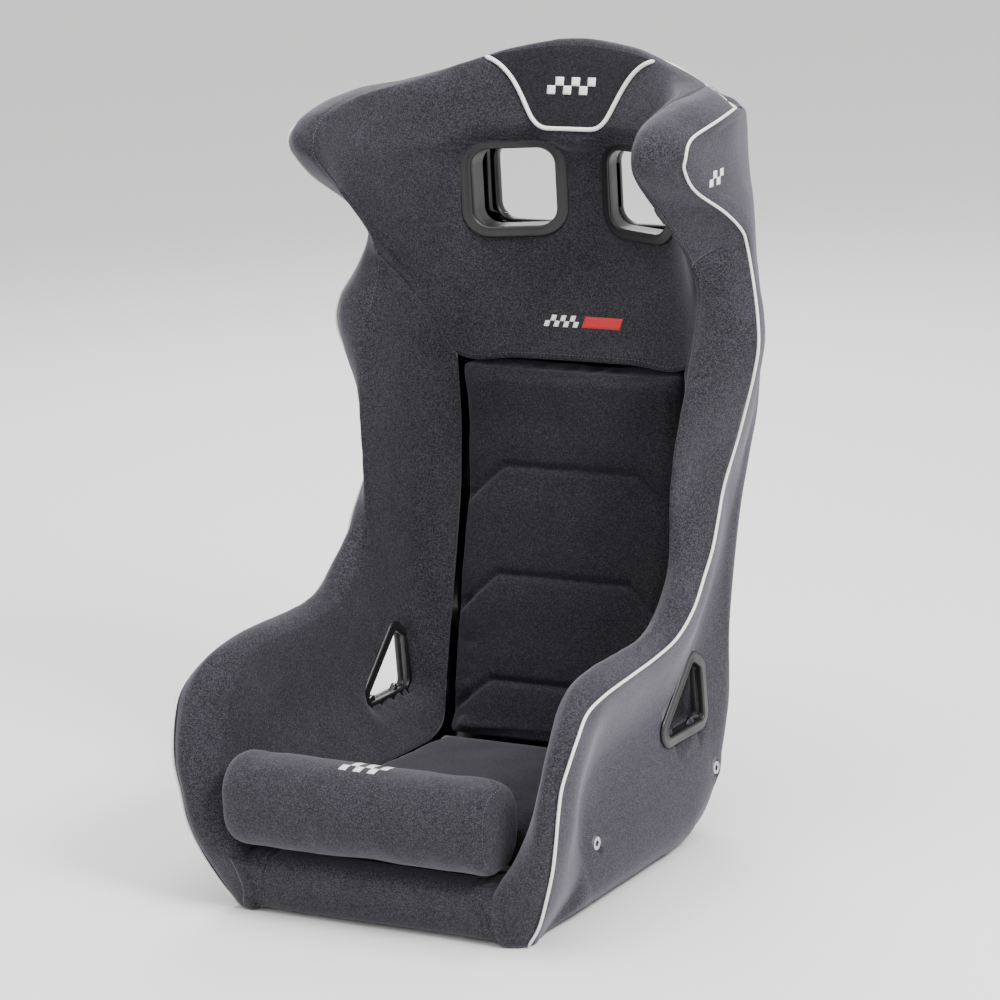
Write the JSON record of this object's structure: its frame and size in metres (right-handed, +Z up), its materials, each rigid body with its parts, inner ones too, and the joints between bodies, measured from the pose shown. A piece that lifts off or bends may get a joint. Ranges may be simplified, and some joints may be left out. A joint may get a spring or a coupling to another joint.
{
  "type": "racing bucket seat",
  "caption": "Fixed-back racing bucket seat with head wings, padded covers with contrast piping, harness slots, lift-out cushions and threaded side mounts.",
  "frame": {"origin": "centre of the bounding box, on the plane of the flat underside", "axes": "+Z up, the occupant faces -Y, +X is the occupant's left"},
  "size_m": [0.5632, 0.6197, 0.9091],
  "materials": {
    "gelcoat": "black gelcoat on glass-fibre laminate, semi-gloss",
    "side_fabric": "charcoal melange knit over thin backing foam",
    "bolster_fabric": "charcoal melange velour knit, soft sheen",
    "inner_fabric": "charcoal melange knit, non-slip",
    "cushion_fabric": "charcoal melange knit with sewn channels",
    "piping": "off-white woven piping cord",
    "foam": "open-cell polyurethane foam",
    "bezel_plastic": "moulded black nylon, satin",
    "insert_steel": "zinc-plated steel",
    "hook_tape": "black nylon hook tape",
    "loop_tape": "black nylon loop tape"
  },
  "bodies": {
    "root": {"shell_pan": "gelcoat", "shell_back": "gelcoat", "shell_side_left": "gelcoat", "shell_side_right": "gelcoat", "outer_side_cover_left": "side_fabric", "outer_side_cover_right": "side_fabric", "side_bolster_left": "bolster_fabric", "side_bolster_right": "bolster_fabric", "head_wing_pad_left": "bolster_fabric", "head_wing_pad_right": "bolster_fabric", "upper_back_pad": "inner_fabric", "head_badge_panel": "bolster_fabric", "badge_piping": "piping", "side_piping_left": "piping", "side_piping_right": "piping", "front_apron_cover": "bolster_fabric", "seat_base_pad": "foam", "shoulder_bezel_front_left": "bezel_plastic", "shoulder_bezel_front_right": "bezel_plastic", "shoulder_bezel_rear_left": "bezel_plastic", "shoulder_bezel_rear_right": "bezel_plastic", "lap_bezel_inner_left": "bezel_plastic", "lap_bezel_inner_right": "bezel_plastic", "lap_bezel_outer_left": "bezel_plastic", "lap_bezel_outer_right": "bezel_plastic", "crotch_slot_bezel": "bezel_plastic", "mount_inserts_left": "insert_steel", "mount_inserts_right": "insert_steel", "seat_hook_strips": "hook_tape", "roll_hook_strip": "hook_tape", "back_hook_strips": "hook_tape"},
    "back_cushion": {"back_cushion_cover": "cushion_fabric", "back_cushion_foam": "foam", "back_loop_strips": "loop_tape"},
    "seat_cushion": {"seat_cushion_cover": "cushion_fabric", "seat_cushion_foam": "foam", "seat_loop_strips": "loop_tape"},
    "thigh_roll": {"thigh_roll_cover": "bolster_fabric", "thigh_roll_foam": "foam", "roll_loop_strip": "loop_tape"}
  },
  "joints": [
    {"name": "thigh_roll_lift", "type": "slide", "parent": "root", "child": "thigh_roll", "axis": [0, -0.766, 0.6428], "range_m": [0, 0.2]},
    {"name": "seat_cushion_lift", "type": "slide", "parent": "root", "child": "seat_cushion", "axis": [0, 0, 1], "range_m": [0, 0.06]},
    {"name": "back_cushion_lift", "type": "slide", "parent": "root", "child": "back_cushion", "axis": [0, -0.7071, 0.7071], "range_m": [0, 0.15]}
  ]
}
